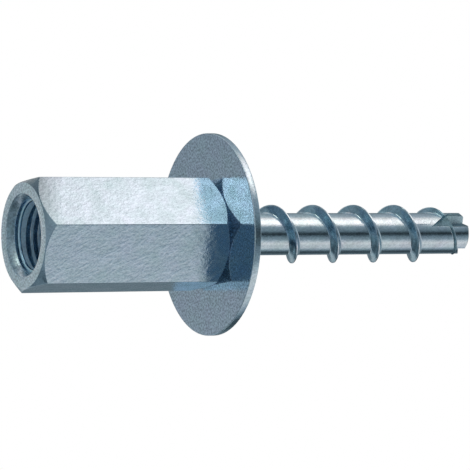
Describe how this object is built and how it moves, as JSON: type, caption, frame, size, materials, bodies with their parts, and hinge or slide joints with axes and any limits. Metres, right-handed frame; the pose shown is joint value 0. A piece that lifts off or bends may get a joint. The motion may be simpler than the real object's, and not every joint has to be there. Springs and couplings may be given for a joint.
{
  "type": "concrete screw anchor",
  "caption": "Concrete screw anchor: long hexagonal head with a countersunk threaded hole, captive flat washer, and a shank with a coarse concrete thread and notched tip.",
  "frame": {"origin": "centre of the round mouth face of the head, which is the surface the anchor stands on", "axes": "+Z along the screw's axis from the mouth of the head to the notched tip, +X through one corner of the hexagon"},
  "size_m": [0.0252, 0.0252, 0.0624],
  "materials": {
    "zinc_plated_steel": "bright zinc plating with a bluish tint and fine speckle over cold-formed steel",
    "zinc_plated_washer": "bright zinc plating on a punched flat washer, glossier than the head"
  },
  "bodies": {
    "screw": {"anchor_screw": "zinc_plated_steel"},
    "washer": {"washer": "zinc_plated_washer"}
  },
  "joints": [
    {"name": "washer_spin", "type": "hinge", "parent": "screw", "child": "washer", "pos_m": [0, 0, 0.02545], "axis": [0, 0, 1], "continuous": true}
  ]
}
